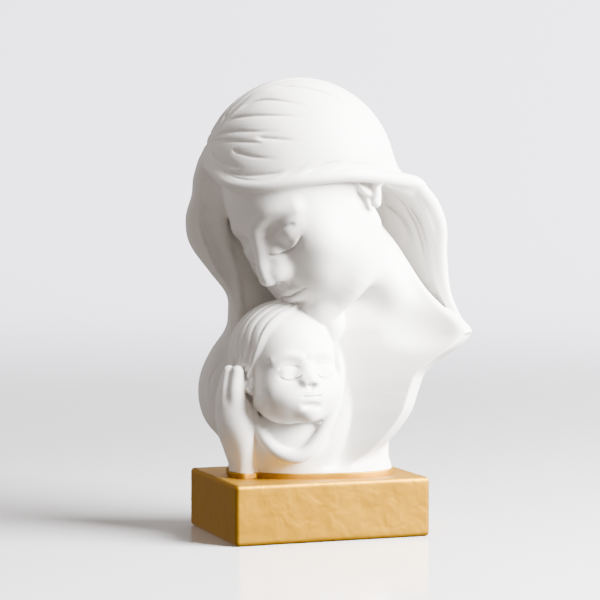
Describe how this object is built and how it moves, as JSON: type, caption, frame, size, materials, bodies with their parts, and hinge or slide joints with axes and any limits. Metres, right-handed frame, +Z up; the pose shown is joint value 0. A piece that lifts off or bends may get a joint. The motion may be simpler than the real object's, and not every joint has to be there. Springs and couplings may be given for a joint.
{
  "type": "mother and child sculpture",
  "caption": "White bust of a mother bowing to kiss the child in her arm, her long hair drawn round both like a hood, on a rectangular gold plinth with rounded edges.",
  "frame": {"origin": "middle of the plinth's underside", "axes": "+Z up, the plinth's front faces -Y and its long side runs along X"},
  "size_m": [0.1443, 0.1031, 0.2477],
  "materials": {
    "white_resin": "matte white cast resin",
    "gold_paint": "satin gold paint on the cast plinth"
  },
  "bodies": {
    "root": {"figure": "white_resin", "plinth": "gold_paint"}
  },
  "joints": []
}
